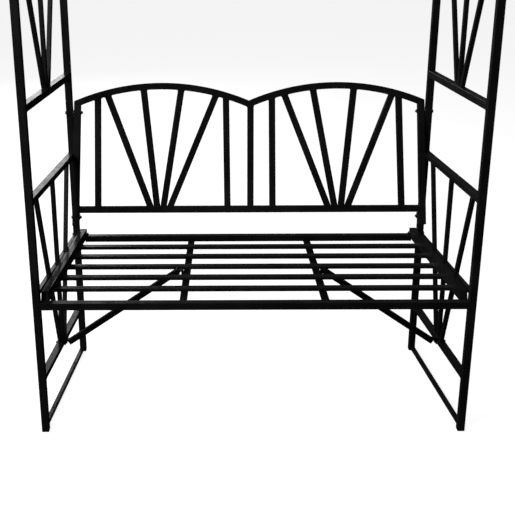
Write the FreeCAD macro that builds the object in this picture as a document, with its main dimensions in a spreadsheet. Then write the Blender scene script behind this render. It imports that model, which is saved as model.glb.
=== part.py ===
import math
import os
import re

import FreeCAD
import Part
import Sketcher

# Garden arch with a built-in two-seat bench, made of square steel tube.
# Millimetres, +Z up, front towards -Y, origin on the ground below the middle of the plan.

SIZES = {
    # main frame
    "front_half": 600.0,
    "rear_half": 563.0,
    "frame_depth": 500.0,
    "front_shift": -5.8,
    "post_size": 20.0,
    "wall_post": 1.5,
    "joint_level": 806.0,
    "spring_level": 1400.0,
    # side rails
    "ground_rail": 12.0,
    "low_rail_level": 159.0,
    "low_rail_high": 15.0,
    "seat_rail_top": 423.0,
    "seat_rail_inset": 2.0,
    "arm_rail_top": 694.0,
    "arm_rail_high": 17.0,
    "panel_rail_level": 924.0,
    "small_bar": 12.0,
    "wall_small": 1.2,
    "peg_hole": 3.0,
    "peg_front": -143.3,
    "peg_rear": 122.7,
    # side fans
    "fan_mid": -14.8,
    "fan_foot": 24.0,
    "fan_head": 169.0,
    "crown_foot": 20.0,
    "crown_head": 170.0,
    # hoops
    "tie_size": 12.0,
    "tie_step": 30.0,
    # seat
    "seat_front_top": 401.0,
    "seat_rise": 13.0,
    "rail_tube": 20.0,
    "lap_thick": 2.0,
    "lap_inset": 4.5,
    "slat_wide": 20.0,
    "slat_high": 10.0,
    "slat_pitch": 75.3,
    "slat_first": -154.2,
    "side_top": 424.0,
    "side_rise": 8.0,
    "side_high": 30.0,
    "nose_deep": 8.0,
    "bearer_half": 196.5,
    "bearer_shift": 2.5,
    "bearer_toe": 11.6,
    "bearer_high": 10.0,
    # backrest, in its own leaning plane
    "lean_deg": 10.0,
    "back_foot_y": 163.2,
    "back_foot_z": 472.0,
    "upright_foot": 544.2,
    "upright_lean": 2.44,
    "back_rail_low": 40.0,
    "arch_radius": 690.0,
    "arch_half": 270.0,
    "arch_top": 443.0,
    "bar_deep": 10.0,
    # braces
    "brace_tube": 16.0,
    "brace_y": -27.8,
    "brace_low_x": 549.0,
    "brace_low_z": 167.3,
    "brace_bolt_z": 166.5,
    "brace_high_x": 214.0,
    "brace_high_z": 399.6,
    "plate_thick": 3.0,
    # fasteners
    "bolt_r": 3.0,
    "bolt_hole": 3.25,
    "hex_r": 5.5,
    "hex_high": 4.0,
    "washer_r": 8.0,
    "short_bolt": 12.0,
    "back_bolt_z": 818.0,
    "back_bolt_low": 476.0,
    "seat_bolt_z": 418.0,
    "screw_r": 2.0,
    "screw_head": 4.0,
    "screw_head_high": 2.0,
    "screw_z": 391.0,
    "screw_inset": 12.0,
}

doc = FreeCAD.newDocument("TrellisArch")
sheet = doc.addObject("Spreadsheet::Sheet", "Sizes")
for row, (alias, value) in enumerate(SIZES.items(), start=1):
    sheet.set("A%d" % row, alias)
    sheet.set("B%d" % row, str(value))
    sheet.setAlias("B%d" % row, alias)
doc.recompute()

V = FreeCAD.Vector
X_AXIS, Y_AXIS, Z_AXIS = V(1, 0, 0), V(0, 1, 0), V(0, 0, 1)
S = SIZES
NODES = []

# Reach of the solids that trim stock lengths, and the spare length left on the stock for them.
WINDOW_REACH = 60.0
SPARE = 9.0


def rot(axis, degrees):
    return FreeCAD.Rotation(axis, degrees)


def at(base, rotation=None):
    return FreeCAD.Placement(V(*base), rotation or FreeCAD.Rotation())


ALONG_Y = rot(X_AXIS, -90)
ALONG_X = rot(Y_AXIS, 90)

# Derived positions shared by several parts.
FRONT_FACE = -S["frame_depth"] / 2 + S["front_shift"]
REAR_FACE = S["frame_depth"] / 2 + S["front_shift"]
FRONT_IN = FRONT_FACE + S["post_size"]
REAR_IN = REAR_FACE - S["post_size"]
BAY = REAR_IN - FRONT_IN
TOE = (S["front_half"] - S["rear_half"]) / BAY
SEAT_SLOPE = S["seat_rise"] / (REAR_FACE - FRONT_IN)
SEAT_TILT = math.degrees(math.atan(SEAT_SLOPE))


def outer_line(y):
    """Half width over the side frame at depth y."""
    return S["front_half"] - TOE * (y - FRONT_IN)


def cells(text):
    """Turns size names into references to the sheet."""
    return re.sub(r"\b([a-z]+(?:_[a-z]+)+)\b", r"Sizes.\1", text)


# ---------------------------------------------------------------- sketch and body helpers

def sketch_on(body, role, name):
    plane = [p for p in body.Origin.OriginFeatures if p.Role == role][0]
    sketch = body.newObject("Sketcher::SketchObject", name)
    sketch.AttachmentSupport = [(plane, "")]
    sketch.MapMode = "FlatFace"
    return sketch


def add_rectangle(sketch, width, height, centre=(0.0, 0.0)):
    """A rectangle about a centre; width and height are sheet expressions."""
    first = sketch.GeometryCount
    cx, cy = centre
    corners = [V(cx - 1, cy - 1), V(cx + 1, cy - 1), V(cx + 1, cy + 1), V(cx - 1, cy + 1)]
    for i in range(4):
        sketch.addGeometry(Part.LineSegment(corners[i], corners[(i + 1) % 4]), False)
    for i in range(4):
        join = (first + i, 2, first + (i + 1) % 4, 1)
        sketch.addConstraint(Sketcher.Constraint("Coincident", *join))
    for line, kind in ((0, "Horizontal"), (2, "Horizontal"), (1, "Vertical"), (3, "Vertical")):
        sketch.addConstraint(Sketcher.Constraint(kind, first + line))
    if centre == (0.0, 0.0):
        sketch.addConstraint(Sketcher.Constraint("Symmetric", first, 1, first + 2, 1, -1, 1))
    else:
        sketch.addConstraint(Sketcher.Constraint("DistanceX", -1, 1, first, 1, cx - 1))
        sketch.addConstraint(Sketcher.Constraint("DistanceY", -1, 1, first, 1, cy - 1))
    across = sketch.addConstraint(Sketcher.Constraint("DistanceX", first, 1, first, 2, 2.0))
    sketch.setExpression("Constraints[%d]" % across, cells(width))
    up = sketch.addConstraint(Sketcher.Constraint("DistanceY", first + 1, 1, first + 1, 2, 2.0))
    sketch.setExpression("Constraints[%d]" % up, cells(height))


def add_polygon(sketch, points):
    for i, point in enumerate(points):
        after = points[(i + 1) % len(points)]
        sketch.addGeometry(Part.LineSegment(V(*point), V(*after)), False)


def new_body(name):
    body = doc.addObject("PartDesign::Body", name)
    body.Label = name
    return body


def both_sides(feature):
    if hasattr(feature, "SideType"):
        feature.SideType = "Symmetric"
    else:
        feature.Midplane = True


def tube(name, width, depth, wall, length, place, shear=None):
    """Rectangular tube along local Z; width lies along local X, depth along local Y."""
    body = new_body(name)
    section = sketch_on(body, "XY_Plane", name + "_section")
    add_rectangle(section, width, depth)
    if wall:
        add_rectangle(section, "%s - 2 * %s" % (width, wall), "%s - 2 * %s" % (depth, wall))
    pad = body.newObject("PartDesign::Pad", name + "_pad")
    pad.Profile = section
    pad.setExpression("Length", cells(length))
    if shear:
        pad.UseCustomVector = True
        pad.Direction = V(shear[0], shear[1], 1.0)
        pad.AlongSketchNormal = True
    section.Visibility = False
    body.Placement = place
    return body


def plate(body, role, name, points, thickness):
    """Adds a flat plate of the given outline, centred on an origin plane."""
    outline = sketch_on(body, role, name + "_outline")
    add_polygon(outline, points)
    pad = body.newObject("PartDesign::Pad", name)
    pad.Profile = outline
    pad.setExpression("Length", cells(thickness))
    both_sides(pad)
    return pad


def cut_out(body, role, name, points=None, holes=None, radius=None):
    """Cuts a polygon or round holes right through the body, both ways from an origin plane."""
    outline = sketch_on(body, role, name + "_outline")
    if points:
        add_polygon(outline, points)
    for centre in holes or ():
        index = outline.addGeometry(Part.Circle(V(centre[0], centre[1], 0), Z_AXIS, S[radius]), False)
        size = outline.addConstraint(Sketcher.Constraint("Radius", index, S[radius]))
        outline.setExpression("Constraints[%d]" % size, cells(radius))
    pocket = body.newObject("PartDesign::Pocket", name)
    pocket.Profile = outline
    pocket.Length = 200.0
    both_sides(pocket)
    return pocket


def prism(name, points, low, high, place=None):
    """A plain solid used only to trim other parts."""
    body = new_body(name)
    outline = sketch_on(body, "XY_Plane", name + "_outline")
    add_polygon(outline, points)
    pad = body.newObject("PartDesign::Pad", name + "_pad")
    pad.Profile = outline
    pad.Length = high - low
    shift = at((0, 0, low))
    body.Placement = place.multiply(shift) if place else shift
    return body


def kept_inside(name, stock, window):
    """The part of a length of stock that lies inside a trimming solid."""
    common = doc.addObject("Part::Common", name)
    common.Base = stock
    common.Tool = window
    common.Label = name
    return common


def group(name, members):
    compound = doc.addObject("Part::Compound", name)
    compound.Links = members
    compound.Label = name
    return compound


def node(item):
    NODES.append(item)
    return item


def drilled(body, name, places):
    """Cuts short bolt holes into a finished part and keeps its name."""
    drills = []
    for i, place in enumerate(places):
        drill = doc.addObject("Part::Cylinder", "%s_%d" % (name, i + 1))
        drill.setExpression("Radius", cells("bolt_hole"))
        drill.Height = S["plate_thick"] + 2.0
        drill.Placement = place
        drills.append(drill)
    tools = doc.addObject("Part::Compound", name)
    tools.Links = drills
    cut = doc.addObject("Part::Cut", name + "_cut")
    cut.Base = body
    cut.Tool = tools
    label = body.Label
    body.Label = label + "_blank"
    cut.Label = label
    return cut


# ---------------------------------------------------------------- posts

SIDES = (("left", -1), ("right", 1))


def post(name, side, half, face, low, high, holes=(), screws=()):
    """One upright post; holes are heights drilled from side to side, screws from the front."""
    centre = (side * (S[half] - S["post_size"] / 2), face, S[low] if low else 0.0)
    length = "%s - %s" % (high, low) if low else high
    body = tube(name, "post_size", "post_size", "wall_post", length, at(centre))
    for i, height in enumerate(holes):
        spot = (0.0, height - centre[2])
        cut_out(body, "YZ_Plane", "%s_hole_%d" % (name, i + 1), holes=[spot], radius="bolt_hole")
    for height in screws:
        spot = (side * (S["post_size"] / 2 - S["screw_inset"]), height - centre[2])
        cut_out(body, "XZ_Plane", name + "_screw_hole", holes=[spot], radius="screw_r")
    return node(body)


def posts():
    front = FRONT_FACE + S["post_size"] / 2
    rear = REAR_FACE - S["post_size"] / 2
    for word, side in SIDES:
        post("post_front_%s_lower" % word, side, "front_half", front, None, "joint_level", (),
             (S["screw_z"],))
        post("post_front_%s_upper" % word, side, "front_half", front, "joint_level", "spring_level")
        post("post_rear_%s_lower" % word, side, "rear_half", rear, None, "joint_level",
             (S["back_bolt_low"], S["seat_bolt_z"]))
        post("post_rear_%s_upper" % word, side, "rear_half", rear, "joint_level", "spring_level",
             (S["back_bolt_z"],))


# ---------------------------------------------------------------- side frames

def side_rail(name, side, width, height, offset, mid_level, length="frame_depth - 2 * post_size",
              slope=0.0):
    """A rail between the posts of one side, following the inward toe of the frame."""
    wide = S[width]
    base = (side * (S["front_half"] - offset - wide / 2), FRONT_IN, mid_level)
    wall = "wall_small" if wide < S["post_size"] else "wall_post"
    return tube(name, width, height, wall, length, at(base, ALONG_Y), (-side * TOE, -slope))


def side_rails():
    small = S["small_bar"]
    for word, side in SIDES:
        ground = side_rail("ground_rail_%s" % word, side, "ground_rail", "ground_rail", 0.0,
                           S["ground_rail"] / 2)
        holes = []
        for y in (S["peg_front"], S["peg_rear"]):
            along = y - FRONT_IN
            holes.append((-side * TOE * along, along))
        cut_out(ground, "XZ_Plane", "peg_holes_%s" % word, holes=holes, radius="peg_hole")
        node(ground)
        middle = S["low_rail_level"] + S["low_rail_high"] / 2
        low = side_rail("low_rail_%s" % word, side, "post_size", "low_rail_high", 0.0, middle)
        cut_out(low, "YZ_Plane", "brace_hole_%s" % word,
                holes=[(middle - S["brace_bolt_z"], S["brace_y"] - FRONT_IN)], radius="bolt_hole")
        node(low)
        node(side_rail("seat_rail_%s" % word, side, "small_bar", "small_bar", S["seat_rail_inset"],
                       S["seat_rail_top"] - small / 2))
        node(side_rail("arm_rail_%s" % word, side, "post_size", "arm_rail_high", 0.0,
                       S["arm_rail_top"] - S["arm_rail_high"] / 2))
        node(side_rail("panel_rail_%s" % word, side, "post_size", "post_size", 0.0,
                       S["panel_rail_level"] + S["post_size"] / 2))
        node(side_rail("spring_rail_%s" % word, side, "post_size", "post_size", 0.0,
                       S["spring_level"] - S["post_size"] / 2))


def side_plane(side):
    """Frame of the side panel's middle plane: X to the rear along the toe, Y up."""
    turn = 90.0 + side * math.degrees(math.atan(TOE))
    base = (side * (S["front_half"] - S["post_size"] / 2), FRONT_IN, 0.0)
    return at(base, rot(Z_AXIS, turn).multiply(rot(X_AXIS, 90)))


def bar_in_plane(name, plane, foot, head, width, depth, wall, extra):
    """A bar between two points of a plane, a little over length at both ends."""
    run = math.hypot(head[0] - foot[0], head[1] - foot[1])
    lean = math.degrees(math.atan2(head[0] - foot[0], head[1] - foot[1]))
    ux, uy = (head[0] - foot[0]) / run, (head[1] - foot[1]) / run
    turn = rot(Z_AXIS, -lean).multiply(rot(X_AXIS, -90))
    start = at((foot[0] - ux * extra, foot[1] - uy * extra, 0.0), turn)
    return tube(name, width, depth, wall, "%.4f" % (run + 2 * extra), plane.multiply(start))


def window_box(name, plane, low, high, span):
    box = doc.addObject("Part::Box", name)
    box.Length = span[1] - span[0]
    box.Width = high - low
    box.Height = WINDOW_REACH
    box.Placement = plane.multiply(at((span[0], low, -WINDOW_REACH / 2)))
    return box


def side_fans():
    """Three bars that rise from the middle of the low rail to the arm rail, cut at the seat rail."""
    stretch = math.hypot(1.0, TOE)
    low = S["low_rail_level"] + S["low_rail_high"]
    high = S["arm_rail_top"] - S["arm_rail_high"]
    seat_high = S["seat_rail_top"]
    seat_low = seat_high - S["small_bar"]
    for word, side in SIDES:
        plane = side_plane(side)
        reach = (-SPARE, BAY * stretch + SPARE)
        below = window_box("fan_below_%s" % word, plane, low, seat_low, reach)
        above = window_box("fan_above_%s" % word, plane, seat_high, high, reach)
        window = doc.addObject("Part::MultiFuse", "fan_window_%s" % word)
        window.Shapes = [below, above]
        for label, sign in (("front", -1), ("middle", 0), ("rear", 1)):
            name = "side_bar_%s_%s" % (label, word)
            foot = ((S["fan_mid"] + sign * S["fan_foot"] - FRONT_IN) * stretch, low)
            head = ((S["fan_mid"] + sign * S["fan_head"] - FRONT_IN) * stretch, high)
            stock = bar_in_plane(name + "_stock", plane, foot, head, "small_bar", "small_bar",
                                 "wall_small", SPARE)
            node(kept_inside(name, stock, window))


def crown_fans():
    """Three bars that spread from the middle of the panel rail up to the spring rail."""
    stretch = math.hypot(1.0, TOE)
    low = S["panel_rail_level"] + S["post_size"]
    high = S["spring_level"] - S["post_size"]
    for word, side in SIDES:
        plane = side_plane(side)
        reach = (-SPARE, BAY * stretch + SPARE)
        window = window_box("crown_window_%s" % word, plane, low, high, reach)
        bars = []
        for sign in (-1, 0, 1):
            name = "crown_bar_%s_%d" % (word, sign + 2)
            foot = ((S["fan_mid"] + sign * S["crown_foot"] - FRONT_IN) * stretch, low)
            head = ((S["fan_mid"] + sign * S["crown_head"] - FRONT_IN) * stretch, high)
            stock = bar_in_plane(name + "_stock", plane, foot, head, "small_bar", "small_bar",
                                 "wall_small", SPARE)
            bars.append(kept_inside(name, stock, window))
        node(group("crown_fan_%s" % word, bars))


# ---------------------------------------------------------------- top hoops and ties

def hoop(name, half, face):
    """Half-round tube in an upright plane, standing on two posts."""
    body = new_body(name)
    section = sketch_on(body, "XY_Plane", name + "_section")
    middle = S[half] - S["post_size"] / 2
    for shrink in (0.0, 2 * S["wall_post"]):
        first = section.GeometryCount
        size = S["post_size"] - shrink
        x0, x1 = middle - size / 2, middle + size / 2
        add_polygon(section, [(x0, -size / 2), (x1, -size / 2), (x1, size / 2), (x0, size / 2)])
        for i in range(4):
            join = (first + i, 2, first + (i + 1) % 4, 1)
            section.addConstraint(Sketcher.Constraint("Coincident", *join))
    turn = body.newObject("PartDesign::Revolution", name + "_sweep")
    turn.Profile = section
    turn.ReferenceAxis = (section, ["V_Axis"])
    turn.Angle = 180.0
    body.Placement = at((0.0, face, S["spring_level"]), rot(X_AXIS, 180))
    return body


def hoops():
    front = hoop("hoop_front", "front_half", FRONT_FACE + S["post_size"] / 2)
    rear = hoop("hoop_rear", "rear_half", REAR_FACE - S["post_size"] / 2)
    node(front)
    node(rear)
    ties = []
    drop = S["front_half"] - S["rear_half"]
    inset = S["post_size"] / 2
    for i in range(1, 6):
        angle = i * S["tie_step"]
        out = (math.cos(math.radians(angle)), math.sin(math.radians(angle)))
        middle = S["front_half"] - inset
        base = (middle * out[0], FRONT_IN, S["spring_level"] + middle * out[1])
        turn = rot(Y_AXIS, -angle).multiply(ALONG_Y)
        ties.append(tube("tie_%d" % i, "tie_size", "tie_size", "wall_small",
                         "frame_depth - 2 * post_size", at(base, turn), (-drop / BAY, 0.0)))
    node(group("hoop_ties", ties))


# ---------------------------------------------------------------- seat

def bearer_x(side, y):
    """Middle line of a bearer, which runs inward to the rear."""
    return side * (S["bearer_half"] - S["bearer_toe"] * (y - FRONT_IN) / BAY) + S["bearer_shift"]


def bearer_mid(y):
    """Height of a bearer's middle line, just under the slats."""
    top = S["seat_front_top"] + SEAT_SLOPE * (y - FRONT_IN)
    return top - S["slat_high"] - S["bearer_high"] / 2


def brace_flank(side):
    """Outboard face of a bearer where the brace's upper plate rests on it."""
    near = bearer_x(side, S["brace_y"] - S["brace_tube"] / 2)
    return side * near + S["rail_tube"] / 2


def seat():
    half = S["rail_tube"] / 2
    top = S["seat_front_top"]
    seat_frame = at((0.0, FRONT_IN, top), rot(X_AXIS, SEAT_TILT))

    between_posts = "2 * (front_half - post_size)"
    reach = S["front_half"] - S["lap_inset"]
    inner = S["front_half"] - S["post_size"]
    front = tube("seat_front_rail", "rail_tube", "rail_tube", "wall_post", between_posts,
                 at((-inner, FRONT_IN - half, top - half), ALONG_X))
    low, high = -half - S["lap_thick"], -half
    strap = [(low, inner - reach), (high, inner - reach), (high, inner + reach), (low, inner + reach)]
    plate(front, "YZ_Plane", "front_strap", strap, "rail_tube")
    for word, side in SIDES:
        spot = (0.0, inner + side * (S["front_half"] - S["screw_inset"]))
        cut_out(front, "XZ_Plane", "strap_hole_%s" % word, holes=[spot], radius="screw_r")
    node(front)

    def inner_line(y):
        return outer_line(y) - 2 * S["post_size"]

    corners = [(-inner_line(FRONT_IN), FRONT_IN), (inner_line(FRONT_IN), FRONT_IN),
               (inner_line(REAR_FACE), REAR_FACE), (-inner_line(REAR_FACE), REAR_FACE)]
    window = prism("seat_window", corners, top - WINDOW_REACH, top + WINDOW_REACH)

    slats = []
    for i in range(5):
        y = S["slat_first"] + i * S["slat_pitch"]
        place = seat_frame.multiply(at((-inner, y - FRONT_IN, -S["slat_high"] / 2), ALONG_X))
        stock = tube("slat_stock_%d" % (i + 1), "slat_high", "slat_wide", "wall_small",
                     between_posts, place)
        slats.append(kept_inside("slat_%d" % (i + 1), stock, window))
    node(group("seat_slats", slats))

    rear_top = top + S["seat_rise"]
    stock = tube("rear_rail_stock", "rail_tube", "rail_tube", "wall_post", between_posts,
                 at((-inner, REAR_FACE - half, rear_top - half), ALONG_X))
    node(kept_inside("seat_rear_rail", stock, window))

    for word, side in SIDES:
        mid = S["side_top"] - S["side_high"] / 2
        member = side_rail("seat_side_%s" % word, side, "rail_tube", "side_high", S["post_size"],
                           mid, "frame_depth - post_size", S["side_rise"] / BAY)
        # closed and sloped nose that runs down to the front rail
        back = S["side_high"] / 2
        drop = S["side_top"] - top
        plug = sketch_on(member, "XY_Plane", "nose_%s_section" % word)
        add_rectangle(plug, "rail_tube", "side_high")
        nose = member.newObject("PartDesign::Pad", "nose_%s" % word)
        nose.Profile = plug
        nose.setExpression("Length", cells("nose_deep"))
        nose.UseCustomVector = True
        nose.Direction = V(-side * TOE, -S["side_rise"] / BAY, 1.0)
        nose.AlongSketchNormal = True
        cut_out(member, "YZ_Plane", "nose_slope_%s" % word,
                points=[(-back - SPARE, -SPARE), (-back - SPARE, S["nose_deep"]),
                        (-back, S["nose_deep"]), (drop - back, 0.0), (drop - back, -SPARE)])
        along = REAR_FACE - S["post_size"] / 2 - FRONT_IN
        cut_out(member, "YZ_Plane", "seat_bolt_hole_%s" % word,
                holes=[(mid - S["seat_bolt_z"], along)], radius="bolt_hole")
        node(member)

    for word, side in SIDES:
        base = (bearer_x(side, FRONT_IN), FRONT_IN, bearer_mid(FRONT_IN))
        bearer = tube("seat_bearer_%s" % word, "rail_tube", "bearer_high", "wall_small",
                      "frame_depth - 2 * post_size", at(base, ALONG_Y),
                      (-side * S["bearer_toe"] / BAY, -SEAT_SLOPE))
        drill = at((side * (brace_flank(side) + 1.0), S["brace_y"], bearer_mid(S["brace_y"])),
                   rot(Y_AXIS, -90.0 * side))
        node(drilled(bearer, "bearer_hole_%s" % word, (drill,)))


# ---------------------------------------------------------------- backrest

BACK = at((0.0, S["back_foot_y"], S["back_foot_z"]), rot(X_AXIS, 90.0 - S["lean_deg"]))
ARCH_CENTRE = S["arch_top"] - S["arch_radius"]
TUBE = S["rail_tube"]


ARC_HALF_ANGLE = 28.0


def flush(depth):
    """Backrest frame moved back so that a bar of this depth has its face in the front plane."""
    return BACK.multiply(at((0.0, 0.0, -depth / 2)))


def ring_height(radius, x):
    """Height in the backrest plane of an arch circle at distance x from the middle."""
    return ARCH_CENTRE + math.sqrt(radius ** 2 - (x - S["arch_half"]) ** 2)


def back_bolt_rise():
    """Distance of the upper back bolt up the middle line of the uprights."""
    lean = math.radians(S["lean_deg"])
    rise = S["back_bolt_z"] - S["back_foot_z"] + TUBE / 2 * math.sin(lean)
    return rise / math.cos(lean)


def mitre_line():
    """Inner and outer corner of the joint between an upright and its arch, run on past both."""
    lean = math.tan(math.radians(S["upright_lean"]))
    inner = S["upright_foot"] - TUBE / 2
    outer = S["upright_foot"] + TUBE / 2
    points = []
    for edge, radius in ((inner, S["arch_radius"] - TUBE), (outer, S["arch_radius"])):
        x = edge
        for _ in range(20):
            x = edge - lean * ring_height(radius, x)
        points.append((x, ring_height(radius, x)))
    (ix, iy), (ox, oy) = points
    run = math.hypot(ox - ix, oy - iy)
    dx, dy = (ox - ix) / run, (oy - iy) / run
    return (ix - 55 * dx, iy - 55 * dy), (ox + 45 * dx, oy + 45 * dy)


def backrest_frame():
    plane = flush(TUBE)
    below, beyond = mitre_line()
    lean = S["upright_lean"]
    for word, side in SIDES:
        # end upright, mitred to the arch
        outline = [below, beyond, (680.0, -40.0), (440.0, -40.0)]
        cutter = prism("upright_window_%s" % word, [(side * x, y) for x, y in outline],
                       -30.0, 30.0, plane)
        foot = (side * S["upright_foot"], 0.0)
        shift = math.tan(math.radians(lean)) * 400.0
        head = (side * (S["upright_foot"] - shift), 400.0)
        stock = bar_in_plane("upright_stock_%s" % word, plane, foot, head, "rail_tube",
                             "rail_tube", "wall_post", 0.0)
        cut_out(stock, "YZ_Plane", "upright_hole_%s" % word, holes=[(0.0, back_bolt_rise())],
                radius="bolt_hole")
        node(kept_inside("back_upright_%s" % word, stock, cutter))

        # arch tube, from the valley at the middle to the mitre
        body = new_body("arch_stock_%s" % word)
        section = sketch_on(body, "XZ_Plane", "arch_section_%s" % word)
        for shrink in (0.0, S["wall_post"]):
            first = section.GeometryCount
            x0 = S["arch_radius"] - TUBE + shrink
            x1 = S["arch_radius"] - shrink
            z = TUBE / 2 - shrink
            add_polygon(section, [(x0, -z), (x1, -z), (x1, z), (x0, z)])
            for i in range(4):
                join = (first + i, 2, first + (i + 1) % 4, 1)
                section.addConstraint(Sketcher.Constraint("Coincident", *join))
        sweep = body.newObject("PartDesign::Revolution", "arch_sweep_%s" % word)
        sweep.Profile = section
        sweep.ReferenceAxis = (section, ["V_Axis"])
        sweep.Angle = 2 * ARC_HALF_ANGLE
        both_sides(sweep)
        centre = at((side * S["arch_half"], ARCH_CENTRE, 0.0), rot(Z_AXIS, 90))
        body.Placement = plane.multiply(centre)
        outline = [(0.0, 300.0), below, beyond, (0.0, 500.0)]
        cutter = prism("arch_window_%s" % word, [(side * x, y) for x, y in outline],
                       -30.0, 30.0, plane)
        node(kept_inside("back_arch_%s" % word, body, cutter))

    # lower rail between the uprights
    low = S["back_rail_low"]
    reach = S["upright_foot"] - TUBE / 2 - math.tan(math.radians(lean)) * (low + TUBE) - 0.05
    base = plane.multiply(at((-reach, low + TUBE / 2, 0.0), ALONG_X))
    node(tube("back_rail", "rail_tube", "rail_tube", "wall_post", "%.4f" % (2 * reach), base))


FAN_FEET = (308.4, 287.2, 266.7, 245.4)
FAN_HEADS = {"left": (417.5, 317.0, 218.0, 120.0), "right": (421.0, 315.0, 208.0, 126.5)}
UPRIGHT_BARS = {"outer_left": (471.4, 465.2), "outer_right": (475.8, 460.5),
                "inner_left": (67.0, 70.5), "inner_right": (73.5, 70.6)}
CENTRE_BAR = 4.6
HEAD_LEVEL = 360.0
STOCK_LEVEL = 420.0


def back_bar(name, plane, window, side, foot, head):
    """A flat bar from the rail's top edge through its place at the head level, cut under the arch."""
    rail_top = S["back_rail_low"] + TUBE
    slope = (head - foot) / (HEAD_LEVEL - rail_top)
    start = (side * foot, rail_top)
    stop = (side * (foot + slope * (STOCK_LEVEL - rail_top)), STOCK_LEVEL)
    stock = bar_in_plane(name + "_stock", plane, start, stop, "slat_wide", "bar_deep",
                         "wall_small", SPARE)
    return kept_inside(name, stock, window)


def backrest_bars():
    """Flat bars between the lower rail and the underside of the arches."""
    plane = flush(S["bar_deep"])
    discs = []
    for word, side in SIDES:
        disc = doc.addObject("Part::Cylinder", "arch_disc_%s" % word)
        disc.Radius = S["arch_radius"] - TUBE
        disc.Height = WINDOW_REACH
        disc.Placement = plane.multiply(at((side * S["arch_half"], ARCH_CENTRE, -WINDOW_REACH / 2)))
        discs.append(disc)
    under = doc.addObject("Part::MultiFuse", "arch_discs")
    under.Shapes = discs
    span = (-S["upright_foot"], S["upright_foot"])
    box = window_box("bar_box", plane, S["back_rail_low"] + TUBE, S["arch_top"], span)
    window = kept_inside("bar_window", under, box)
    for word, side in SIDES:
        bars = []
        for i, (foot, head) in enumerate(zip(FAN_FEET, FAN_HEADS[word])):
            name = "back_fan_%s_%d" % (word, i + 1)
            bars.append(back_bar(name, plane, window, side, foot, head))
        node(group("back_fan_%s" % word, bars))
        for label in ("outer", "inner"):
            foot, head = UPRIGHT_BARS["%s_%s" % (label, word)]
            node(back_bar("back_bar_%s_%s" % (label, word), plane, window, side, foot, head))
    node(back_bar("back_bar_centre", plane, window, 1, CENTRE_BAR, CENTRE_BAR))


def back_tabs():
    """Plates welded to the foot of each upright and bolted to the rear posts."""
    tabs = []
    z = S["back_bolt_low"]
    for word, side in SIDES:
        outer = S["rear_half"] - S["post_size"]
        body = new_body("back_tab_%s" % word)
        start = S["back_foot_y"] + 22.0
        outline = [(start, z - 10.0), (REAR_FACE, z - 10.0), (REAR_FACE, z + 10.0),
                   (start + 3.5, z + 10.0)]
        plate(body, "YZ_Plane", "tab_plate_%s" % word, outline, "plate_thick")
        cut_out(body, "YZ_Plane", "tab_hole_%s" % word,
                holes=[(REAR_FACE - S["post_size"] / 2, z)], radius="bolt_hole")
        body.Placement = at((side * (outer - S["plate_thick"] / 2), 0.0, 0.0))
        tabs.append(body)
    node(group("back_tabs", tabs))


# ---------------------------------------------------------------- braces

def brace_wall():
    """Inner face of the low rail where the brace's lower plate rests on it."""
    return outer_line(S["brace_y"] + S["brace_tube"] / 2) - S["post_size"]


def braces():
    """Diagonal struts from the low side rails up to the bearers, with flattened ends."""
    low = (S["brace_low_x"], S["brace_low_z"])
    high = (S["brace_high_x"], S["brace_high_z"])
    run = math.hypot(low[0] - high[0], low[1] - high[1])
    across = ((high[0] - low[0]) / run, (high[1] - low[1]) / run)
    lean = math.degrees(math.atan2(across[0], across[1]))
    thick = S["plate_thick"]
    face = brace_wall()
    head_top = S["brace_bolt_z"] + S["hex_r"]

    def local(point):
        """A point of the upright plane through the brace, in the brace's own axes."""
        dx, dz = point[0] - low[0], point[1] - low[1]
        along = dx * across[0] + dz * across[1]
        side_way = dx * across[1] - dz * across[0]
        return side_way, along

    low_plate = [(face - thick, S["low_rail_level"]), (face, S["low_rail_level"]),
                 (face, head_top + 6.0), (face - thick, head_top + 6.0)]
    low_neck = [(low[0], head_top + 1.5), (face - 1.0, head_top + 1.0),
                (face - 1.0, head_top + 5.0), (low[0] - 1.0, head_top + 5.5)]
    for word, side in SIDES:
        flank = brace_flank(side)
        bolt_z = bearer_mid(S["brace_y"])
        foot_z = bolt_z - S["bearer_high"] / 2
        top_z = high[1] + 4.0
        high_plate = [(flank, foot_z), (flank + thick, foot_z), (flank + thick, top_z),
                      (flank, top_z)]
        high_neck = [(flank + 1.0, top_z - 4.0), (high[0] + 4.0, top_z - 6.0),
                     (high[0] + 4.0, top_z - 2.0), (flank + 1.0, top_z)]
        turn = rot(Y_AXIS, side * lean)
        body = tube("brace_%s" % word, "brace_tube", "brace_tube", "wall_post", "%.4f" % run,
                    at((side * low[0], S["brace_y"], low[1]), turn))
        for label, outline in (("low_neck", low_neck), ("low_plate", low_plate),
                               ("high_neck", high_neck), ("high_plate", high_plate)):
            points = []
            for corner in outline:
                side_way, along = local(corner)
                points.append((side * side_way, along))
            plate(body, "XZ_Plane", "brace_%s_%s" % (label, word), points, "brace_tube")
        sideways = rot(Y_AXIS, 90.0 * side)
        node(drilled(body, "brace_holes_%s" % word, (
            at((side * (flank - 1.0), S["brace_y"], bolt_z), sideways),
            at((side * (face - thick - 1.0), S["brace_y"], S["brace_bolt_z"]), sideways))))


# ---------------------------------------------------------------- fasteners

def bolt(name, place, grip):
    """Hexagon bolt along local Z: the head ends at z = 0 and the shank runs to the grip."""
    head = doc.addObject("Part::Prism", name + "_head")
    head.Polygon = 6
    head.setExpression("Circumradius", cells("hex_r"))
    head.setExpression("Height", cells("hex_high"))
    head.Placement = place.multiply(at((0.0, 0.0, -S["hex_high"])))
    shank = doc.addObject("Part::Cylinder", name + "_shank")
    shank.setExpression("Radius", cells("bolt_r"))
    shank.Height = grip
    shank.Placement = place
    fused = doc.addObject("Part::MultiFuse", name)
    fused.Shapes = [head, shank]
    return fused


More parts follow.
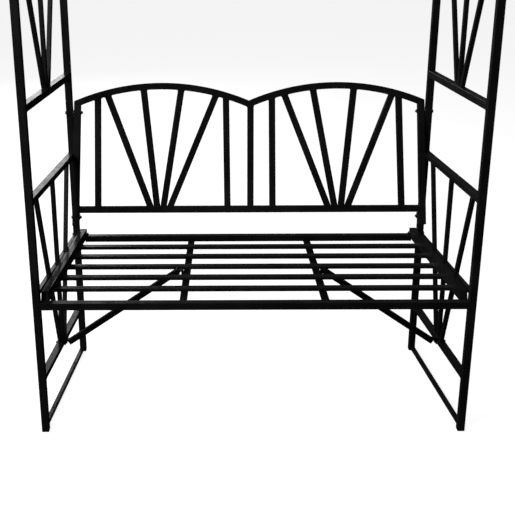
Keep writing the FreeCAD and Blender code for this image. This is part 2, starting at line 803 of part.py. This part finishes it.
def nut(name, place, start):
    """Hexagon nut whose near face stands at the given distance along the bolt."""
    block = doc.addObject("Part::Prism", name + "_block")
    block.Polygon = 6
    block.setExpression("Circumradius", cells("hex_r"))
    block.setExpression("Height", cells("hex_high"))
    block.Placement = place.multiply(at((0.0, 0.0, start)))
    bore = doc.addObject("Part::Cylinder", name + "_bore")
    bore.setExpression("Radius", cells("bolt_r"))
    bore.Height = 3 * S["hex_high"]
    bore.Placement = place.multiply(at((0.0, 0.0, start - S["hex_high"])))
    cut = doc.addObject("Part::Cut", name)
    cut.Base = block
    cut.Tool = bore
    return cut


def screw(name, side):
    """Round-headed screw that holds the front rail's lap to the post."""
    face = FRONT_FACE - S["lap_thick"]
    back = rot(X_AXIS, -90)
    x = side * (S["front_half"] - S["screw_inset"])
    head = doc.addObject("Part::Cylinder", name + "_head")
    head.setExpression("Radius", cells("screw_head"))
    head.setExpression("Height", cells("screw_head_high"))
    head.Placement = at((x, face - S["screw_head_high"], S["screw_z"]), back)
    shank = doc.addObject("Part::Cylinder", name + "_shank")
    shank.setExpression("Radius", cells("screw_r"))
    shank.Height = 12.0
    shank.Placement = at((x, face, S["screw_z"]), back)
    fused = doc.addObject("Part::MultiFuse", name)
    fused.Shapes = [head, shank]
    return fused


# Clearance under a nut on a slanting face, and the thread that stands out of a nut.
SNUG = 0.5
TIP = 2.5


def fasteners():
    post_y = REAR_FACE - S["post_size"] / 2
    outer = S["rear_half"]
    inner = outer - S["post_size"]
    back_x = S["upright_foot"] - S["rail_tube"] / 2
    back_x -= math.tan(math.radians(S["upright_lean"])) * back_bolt_rise()
    bolts, nuts, washers, screws = [], [], [], []
    for word, side in SIDES:
        inward = rot(Y_AXIS, -90.0 * side)
        # backrest top, seat side member and backrest foot, all through the rear post
        stacks = (("back", S["back_bolt_z"], outer - back_x + SNUG),
                  ("seat", S["seat_bolt_z"], S["post_size"] + S["rail_tube"] + 4 * SNUG),
                  ("foot", S["back_bolt_low"], S["post_size"] + S["plate_thick"]))
        for label, z, grip in stacks:
            place = at((side * outer, post_y, z), inward)
            bolts.append(bolt("%s_bolt_%s" % (label, word), place, grip + S["hex_high"] + TIP))
            nuts.append(nut("%s_nut_%s" % (label, word), place, grip))
        gap = inner - back_x - S["rail_tube"]
        ring = doc.addObject("Part::Cylinder", "washer_disc_%s" % word)
        ring.setExpression("Radius", cells("washer_r"))
        ring.Height = gap - SNUG
        ring.Placement = at((side * inner, post_y, S["back_bolt_z"]), inward)
        bore = doc.addObject("Part::Cylinder", "washer_bore_%s" % word)
        bore.setExpression("Radius", cells("bolt_r"))
        bore.Height = gap
        bore.Placement = ring.Placement
        cut = doc.addObject("Part::Cut", "washer_%s" % word)
        cut.Base = ring
        cut.Tool = bore
        washers.append(cut)
        # brace to bearer, tapped into its wall, and brace to low rail with a nut outside
        y = S["brace_y"]
        start = brace_flank(side) + S["plate_thick"]
        place = at((side * start, y, bearer_mid(y)), inward)
        bolts.append(bolt("bearer_bolt_%s" % word, place, S["short_bolt"]))
        start = brace_wall() - S["plate_thick"]
        place = at((side * start, y, S["brace_bolt_z"]), rot(Y_AXIS, 90.0 * side))
        grip = outer_line(y) - start + SNUG
        bolts.append(bolt("brace_bolt_%s" % word, place, grip + S["hex_high"] + TIP))
        nuts.append(nut("brace_nut_%s" % word, place, grip))
        screws.append(screw("rail_screw_%s" % word, side))
    node(group("rail_screws", screws))
    node(group("frame_bolts", bolts))
    node(group("frame_nuts", nuts))
    node(group("back_washers", washers))


posts()
side_rails()
side_fans()
crown_fans()
hoops()
seat()
backrest_frame()
backrest_bars()
back_tabs()
braces()
fasteners()
doc.recompute()

for item in doc.Objects:
    if any(flag in item.State for flag in ("Invalid", "Error")):
        raise RuntimeError("%s: %s" % (item.Label, item.State))
for item in NODES:
    if item.Shape.isNull() or not item.Shape.isValid():
        raise RuntimeError("bad shape: %s" % item.Label)

os.makedirs("parts", exist_ok=True)
for item in NODES:
    item.Shape.exportStep("parts/%s.step" % item.Label)
print("nodes", len(NODES))
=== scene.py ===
import math

import bpy
import numpy as np
from mathutils import Matrix, Vector


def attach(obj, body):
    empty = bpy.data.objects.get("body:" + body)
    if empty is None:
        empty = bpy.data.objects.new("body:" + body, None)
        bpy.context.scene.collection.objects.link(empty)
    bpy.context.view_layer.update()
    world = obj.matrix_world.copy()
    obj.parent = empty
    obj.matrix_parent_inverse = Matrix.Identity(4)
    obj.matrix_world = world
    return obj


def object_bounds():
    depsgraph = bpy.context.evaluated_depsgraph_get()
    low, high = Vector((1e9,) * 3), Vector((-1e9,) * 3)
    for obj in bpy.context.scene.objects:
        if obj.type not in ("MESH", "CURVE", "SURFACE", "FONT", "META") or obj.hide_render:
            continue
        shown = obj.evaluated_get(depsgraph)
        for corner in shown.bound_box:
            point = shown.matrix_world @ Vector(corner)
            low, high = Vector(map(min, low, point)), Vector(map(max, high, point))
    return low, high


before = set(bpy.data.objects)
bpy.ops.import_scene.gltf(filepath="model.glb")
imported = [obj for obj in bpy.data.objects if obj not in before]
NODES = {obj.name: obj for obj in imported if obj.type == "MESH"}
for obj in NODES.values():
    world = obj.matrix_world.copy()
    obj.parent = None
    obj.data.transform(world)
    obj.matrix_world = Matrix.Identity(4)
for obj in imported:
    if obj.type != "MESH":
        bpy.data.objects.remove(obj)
CAD_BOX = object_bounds()

MM = 0.001

# Rounded edges.
EDGE_ROUND = 0.9 * MM
FASTENER_ROUND = 0.3 * MM
JOIN_DISTANCE = 0.01 * MM
SHARP_ANGLE = math.radians(40)

# Weld beads.
BEAD_RADIUS = 1.9 * MM
FINE_BEAD = 1.6 * MM
THIN_BEAD = 1.5 * MM
SHORTEST_BEAD = 3 * MM
RIPPLE_STEP = 2.2 * MM
RING_SIDES = 8
END_REACH = 30 * MM
CORNER_REACH = 1.0 * MM
SKIN = 0.05 * MM

# Floor.
FLOOR_HALF = 40.0
FLOOR_DROP = 0.2 * MM


# ---------------------------------------------------------------- materials

def new_material(name):
    material = bpy.data.materials.new(name)
    material.use_nodes = True
    tree = material.node_tree
    shader = tree.nodes["Principled BSDF"]
    return material, tree, shader


def add_node(tree, kind, **values):
    item = tree.nodes.new(kind)
    for key, value in values.items():
        item.inputs[key.replace("_", " ")].default_value = value
    return item


def noise(tree, scale, detail=4.0, roughness=0.55):
    """Noise laid out in the object's own metres."""
    place = tree.nodes.new("ShaderNodeTexCoord")
    item = add_node(tree, "ShaderNodeTexNoise", Scale=scale, Detail=detail, Roughness=roughness)
    tree.links.new(place.outputs["Object"], item.inputs["Vector"])
    return item.outputs["Fac"]


def spread(tree, source, low_in, high_in, low_out, high_out):
    item = add_node(tree, "ShaderNodeMapRange", From_Min=low_in, From_Max=high_in,
                    To_Min=low_out, To_Max=high_out)
    tree.links.new(source, item.inputs["Value"])
    return item.outputs["Result"]


def mixed(tree, amount, first, second):
    item = tree.nodes.new("ShaderNodeMix")
    item.data_type = "RGBA"
    item.inputs["A"].default_value = (*first, 1.0)
    item.inputs["B"].default_value = (*second, 1.0)
    tree.links.new(amount, item.inputs["Factor"])
    return item.outputs["Result"]


def bumps(tree, shader, layers):
    """Chains bump layers, given as (height, strength, distance)."""
    last = None
    for height, strength, distance in layers:
        item = add_node(tree, "ShaderNodeBump", Strength=strength, Distance=distance)
        tree.links.new(height, item.inputs["Height"])
        if last:
            tree.links.new(last, item.inputs["Normal"])
        last = item.outputs["Normal"]
    tree.links.new(last, shader.inputs["Normal"])


def powder_coat(name, dark, light, shine):
    """Black powder coat between two greys: fine orange peel and uneven gloss."""
    material, tree, shader = new_material(name)
    cloud = spread(tree, noise(tree, 9.0), 0.42, 0.72, 0.0, 1.0)
    colour = mixed(tree, cloud, (dark, dark, 1.03 * dark), (light, light, 1.02 * light))
    tree.links.new(colour, shader.inputs["Base Color"])
    gloss = spread(tree, noise(tree, 60.0), 0.3, 0.7, 0.27, 0.38)
    tree.links.new(gloss, shader.inputs["Roughness"])
    shader.inputs["Specular IOR Level"].default_value = shine
    peel = noise(tree, 900.0, 2.0)
    wave = noise(tree, 70.0, 2.0)
    bumps(tree, shader, [(peel, 0.07, 0.0002), (wave, 0.05, 0.0004)])
    return material


def zinc_plate():
    """Dull blackened zinc of the fasteners."""
    material, tree, shader = new_material("dull_zinc_plate")
    cloud = spread(tree, noise(tree, 140.0), 0.35, 0.65, 0.0, 1.0)
    colour = mixed(tree, cloud, (0.09, 0.09, 0.095), (0.24, 0.24, 0.25))
    tree.links.new(colour, shader.inputs["Base Color"])
    gloss = spread(tree, noise(tree, 260.0), 0.3, 0.7, 0.28, 0.46)
    tree.links.new(gloss, shader.inputs["Roughness"])
    shader.inputs["Metallic"].default_value = 1.0
    bumps(tree, shader, [(noise(tree, 1400.0, 2.0), 0.2, 0.0002)])
    return material


def pale_floor():
    material, tree, shader = new_material("pale_floor")
    cloud = spread(tree, noise(tree, 1.6), 0.3, 0.7, 0.0, 1.0)
    colour = mixed(tree, cloud, (0.30, 0.30, 0.30), (0.33, 0.33, 0.33))
    tree.links.new(colour, shader.inputs["Base Color"])
    shader.inputs["Roughness"].default_value = 0.75
    shader.inputs["Emission Color"].default_value = (1.0, 1.0, 1.0, 1.0)
    shader.inputs["Emission Strength"].default_value = 0.88
    return material


COAT = powder_coat("satin_black_powder_coat", 0.008, 0.015, 0.08)
# Darker, less shiny copy of the same black coat for the braces and bearers under the seat:
# painted shade standing in for the shadow of the slats.
PAINTED_SHADE_COAT = powder_coat("black_powder_coat_painted_shade", 0.003, 0.006, 0.04)
ZINC = zinc_plate()
FASTENERS = ("frame_bolts", "frame_nuts", "back_washers")
UNDER_SEAT = ("brace_left", "brace_right", "seat_bearer_left", "seat_bearer_right")


def finish_of(name):
    if name in FASTENERS:
        return ZINC
    # Under-seat parts take the darker copy of the coat, which is painted shade.
    if name in UNDER_SEAT:
        return PAINTED_SHADE_COAT
    return COAT


def dress_frame():
    """Materials and softly rounded edges on every part of the frame."""
    for name, item in NODES.items():
        finish = finish_of(name)
        for slot in item.material_slots:
            slot.material = finish
        weld = item.modifiers.new("join", "WELD")
        weld.merge_threshold = JOIN_DISTANCE
        edge = item.modifiers.new("round", "BEVEL")
        edge.width = FASTENER_ROUND if finish is ZINC else EDGE_ROUND
        edge.segments = 2
        edge.limit_method = "ANGLE"
        edge.angle_limit = SHARP_ANGLE


# ---------------------------------------------------------------- weld beads

def separate_solids(item):
    """Vertex positions of each loose solid of a node."""
    mesh = item.data
    spots = np.array([tuple(v.co) for v in mesh.vertices])
    keys = np.round(spots / 1e-6).astype(np.int64)
    first = {}
    parent = list(range(len(spots)))

    def root(i):
        while parent[i] != i:
            parent[i] = parent[parent[i]]
            i = parent[i]
        return i

    for i, key in enumerate(map(tuple, keys)):
        if key in first:
            parent[root(i)] = root(first[key])
        else:
            first[key] = i
    for edge in mesh.edges:
        a, b = edge.vertices
        parent[root(a)] = root(b)
    groups = {}
    for i in range(len(spots)):
        groups.setdefault(root(i), []).append(i)
    return [spots[members] for members in groups.values()]


def bar_axis(points):
    """Middle of a straight bar and the unit direction along it."""
    middle = points.mean(axis=0)
    _, _, rows = np.linalg.svd(points - middle, full_matrices=False)
    return middle, rows[0]


def end_corners(points, end):
    """The four outer corners at one end of a straight bar (end is -1 or 1)."""
    middle, along = bar_axis(points)
    local = points - middle
    reach = local @ along
    helper = np.array([0.0, 0.0, 1.0]) if abs(along[2]) < 0.5 else np.array([1.0, 0.0, 0.0])
    across = np.cross(along, helper)
    across /= np.linalg.norm(across)
    through = np.cross(along, across)
    near = end * reach > (end * reach).max() - END_REACH
    flat = np.stack([local @ across, local @ through], axis=1)
    flat_middle = (flat.max(axis=0) + flat.min(axis=0)) / 2
    corners = []
    for sx, sy in ((-1, -1), (1, -1), (1, 1), (-1, 1)):
        outward = (flat - flat_middle) @ np.array([sx, sy])
        outward = np.where(near, outward, -1.0)
        best = outward.max()
        shortlist = np.where(outward > best - CORNER_REACH)[0]
        pick = shortlist[np.argmax(end * reach[shortlist])]
        corners.append(Vector(points[pick]))
    return corners


def bead_rings(start, stop, radius, phase):
    """Rings of a rippled bead between two points."""
    axis = stop - start
    length = axis.length
    axis.normalize()
    side = axis.orthogonal().normalized()
    up = axis.cross(side)
    count = max(4, int(length / RIPPLE_STEP) * 2)
    rings = []
    for i in range(count + 1):
        share = i / count
        swell = 0.86 + 0.20 * math.sin(math.pi * i + phase) + 0.10 * math.sin(2.3 * i + 3 * phase)
        ends = min(1.0, 0.45 + 4.0 * min(share, 1 - share))
        size = radius * swell * ends
        spot = start + axis * length * share
        ring = []
        for k in range(RING_SIDES):
            angle = 2 * math.pi * k / RING_SIDES
            ring.append(spot + (side * math.cos(angle) + up * math.sin(angle)) * size)
        rings.append(ring)
    return rings


def inside_box(point):
    """The point, held just inside the box of the CAD model."""
    low, high = CAD_BOX
    return tuple(min(max(point[i], low[i] + SKIN), high[i] - SKIN) for i in range(3))


class BeadMesh:
    """Collects beads and turns them into one smooth object."""

    def __init__(self):
        self.points = []
        self.faces = []

    def add(self, start, stop, radius=BEAD_RADIUS):
        if (stop - start).length < SHORTEST_BEAD:
            return
        rings = bead_rings(start, stop, radius, 0.7 * len(self.faces))
        base = len(self.points)
        for ring in rings:
            self.points.extend(ring)
        for i in range(len(rings) - 1):
            for k in range(RING_SIDES):
                a = base + RING_SIDES * i + k
                b = base + RING_SIDES * i + (k + 1) % RING_SIDES
                self.faces.append((a, b, b + RING_SIDES, a + RING_SIDES))
        last = base + RING_SIDES * (len(rings) - 1)
        self.faces.append(tuple(base + k for k in reversed(range(RING_SIDES))))
        self.faces.append(tuple(last + k for k in range(RING_SIDES)))

    def make(self, name):
        mesh = bpy.data.meshes.new(name)
        mesh.from_pydata([inside_box(p) for p in self.points], [], self.faces)
        mesh.update()
        for polygon in mesh.polygons:
            polygon.use_smooth = True
        item = bpy.data.objects.new(name, mesh)
        bpy.context.scene.collection.objects.link(item)
        item.data.materials.append(COAT)
        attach(item, "root")


def weld_ends(name, radius=BEAD_RADIUS):
    """A bead all round both ends of every solid of a node."""
    beads = BeadMesh()
    for points in separate_solids(NODES[name]):
        for end in (-1, 1):
            corners = end_corners(points, end)
            for i in range(4):
                beads.add(corners[i], corners[(i + 1) % 4], radius)
    beads.make("weld_" + name)


def welds():
    sides = ("left", "right")
    for word in sides:
        for rail in ("low_rail", "arm_rail", "panel_rail", "spring_rail"):
            weld_ends("%s_%s" % (rail, word))
        for rail in ("ground_rail", "seat_rail"):
            weld_ends("%s_%s" % (rail, word), radius=THIN_BEAD)
        for place in ("front", "middle", "rear"):
            weld_ends("side_bar_%s_%s" % (place, word), radius=FINE_BEAD)
        weld_ends("crown_fan_%s" % word, radius=FINE_BEAD)
        weld_ends("back_fan_%s" % word)
        weld_ends("back_bar_outer_%s" % word)
        weld_ends("back_bar_inner_%s" % word)
        weld_ends("seat_bearer_%s" % word)
    weld_ends("back_bar_centre")
    weld_ends("back_rail")
    weld_ends("seat_slats", radius=FINE_BEAD)
    weld_ends("seat_rear_rail")
    weld_ends("hoop_ties", radius=FINE_BEAD)


# ---------------------------------------------------------------- floor, light and camera

def floor():
    half = FLOOR_HALF
    mesh = bpy.data.meshes.new("floor")
    mesh.from_pydata([(-half, -half, 0), (half, -half, 0), (half, half, 0), (-half, half, 0)],
                     [], [(0, 1, 2, 3)])
    item = bpy.data.objects.new("floor", mesh)
    item.location.z = CAD_BOX[0][2] - FLOOR_DROP
    bpy.context.scene.collection.objects.link(item)
    mesh.materials.append(pale_floor())
    item.visible_glossy = False
    item.visible_diffuse = False


def soft_light(name, place, target, size, power):
    data = bpy.data.lights.new(name, "AREA")
    data.shape = "RECTANGLE"
    data.size, data.size_y = size
    data.energy = power
    item = bpy.data.objects.new(name, data)
    item.location = place
    aim = Vector(target) - Vector(place)
    item.rotation_euler = aim.to_track_quat("-Z", "Y").to_euler()
    bpy.context.scene.collection.objects.link(item)


def studio():
    """Faint surroundings, weakest below and in front, strongest above and behind."""
    world = bpy.data.worlds.new("studio")
    bpy.context.scene.world = world
    world.use_nodes = True
    tree = world.node_tree
    place = tree.nodes.new("ShaderNodeTexCoord")
    parts = tree.nodes.new("ShaderNodeSeparateXYZ")
    tree.links.new(place.outputs["Generated"], parts.inputs["Vector"])
    upward = spread(tree, parts.outputs["Z"], -0.12, -0.04, 0.2, 1.0)
    rearward = spread(tree, parts.outputs["Y"], -0.9, 0.5, 0.45, 1.1)
    glow = tree.nodes.new("ShaderNodeMath")
    glow.operation = "MULTIPLY"
    tree.links.new(upward, glow.inputs[0])
    tree.links.new(rearward, glow.inputs[1])
    back = tree.nodes["Background"]
    tree.links.new(glow.outputs["Value"], back.inputs["Strength"])


def lights():
    soft_light("overhead", (-0.6, 0.4, 4.2), (0.0, 0.0, 0.6), (4.0, 3.0), 60.0)
    soft_light("left", (-3.6, 1.6, 2.6), (0.0, 0.0, 0.5), (2.5, 2.5), 90.0)
    soft_light("front left", (-2.8, -3.2, 2.4), (-0.6, 0.0, 0.7), (1.8, 1.8), 110.0)
    soft_light("rear left", (-2.1, 4.6, 2.1), (-0.5, 0.0, 0.6), (2.0, 1.4), 45.0)


def camera():
    """Stands in front of the bench at head height, a little left of the middle, looking down."""
    yaw, pitch, roll = -0.0072, 0.3154, -0.0062
    forward = Vector((math.cos(pitch) * math.sin(yaw), math.cos(pitch) * math.cos(yaw),
                      -math.sin(pitch)))
    right = Vector((math.cos(yaw), -math.sin(yaw), 0.0))
    up = right.cross(forward)
    right_rolled = right * math.cos(roll) + up * math.sin(roll)
    up_rolled = up * math.cos(roll) - right * math.sin(roll)
    data = bpy.data.cameras.new("camera")
    data.sensor_width = 36.0
    data.lens = 60.77
    data.shift_x = 0.0894
    data.shift_y = -0.1171
    data.clip_end = 200.0
    item = bpy.data.objects.new("camera", data)
    turn = Matrix((right_rolled, up_rolled, -forward)).transposed()
    item.matrix_world = Matrix.Translation((-0.0983, -2.3979, 1.4003)) @ turn.to_4x4()
    bpy.context.scene.collection.objects.link(item)
    bpy.context.scene.camera = item


bpy.context.scene.view_settings.view_transform = "Standard"
dress_frame()
welds()
floor()
studio()
lights()
camera()
